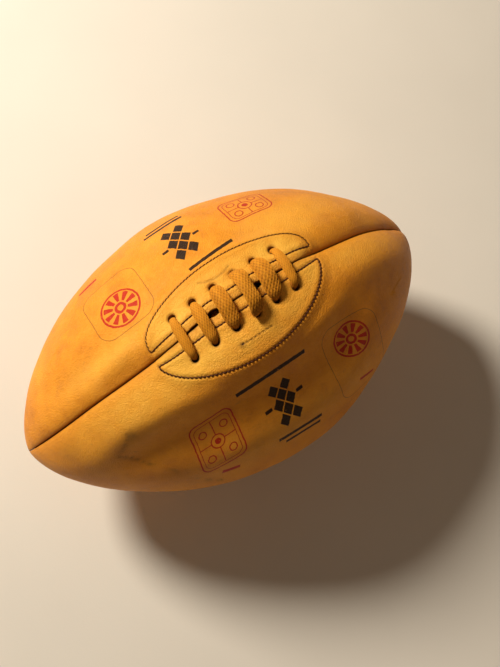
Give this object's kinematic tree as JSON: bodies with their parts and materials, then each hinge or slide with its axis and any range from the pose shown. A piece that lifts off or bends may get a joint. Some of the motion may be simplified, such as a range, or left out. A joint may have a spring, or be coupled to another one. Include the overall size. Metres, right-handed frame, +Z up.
{
  "type": "laced rugby ball",
  "caption": "Pointed oval leather ball with stitched panels, a laced slit on top and an inflatable rubber bladder inside.",
  "frame": {"origin": "on the floor under the middle of the ball", "axes": "+X along the ball's long axis, +Z up through the lacing, -Y towards the front panel"},
  "size_m": [0.2978, 0.1834, 0.192],
  "materials": {
    "panel_leather": "worn, waxed, satin",
    "patch_leather": "raw, matt",
    "lining_canvas": "woven, matt",
    "lace_cotton": "braided, waxed, matt",
    "dark_thread": "waxed",
    "linen_thread": "matt",
    "bladder_rubber": "dusted, matt"
  },
  "bodies": {
    "root": {"panel_upper_front": "panel_leather", "panel_lower_front": "panel_leather", "panel_lower_back": "panel_leather", "panel_upper_back": "panel_leather", "lining_upper_front": "lining_canvas", "lining_lower_front": "lining_canvas", "lining_lower_back": "lining_canvas", "lining_upper_back": "lining_canvas", "seam_thread_front": "linen_thread", "seam_thread_bottom": "linen_thread", "seam_thread_back": "linen_thread", "seam_thread_top_left": "linen_thread", "seam_thread_top_right": "linen_thread", "lace_patch_front": "patch_leather", "lace_patch_back": "patch_leather", "patch_thread_front": "dark_thread", "patch_thread_back": "dark_thread", "lace": "lace_cotton", "tongue": "patch_leather", "tongue_thread": "linen_thread", "bladder": "bladder_rubber", "neck_tie": "linen_thread", "neck_plug": "bladder_rubber"}
  },
  "joints": []
}
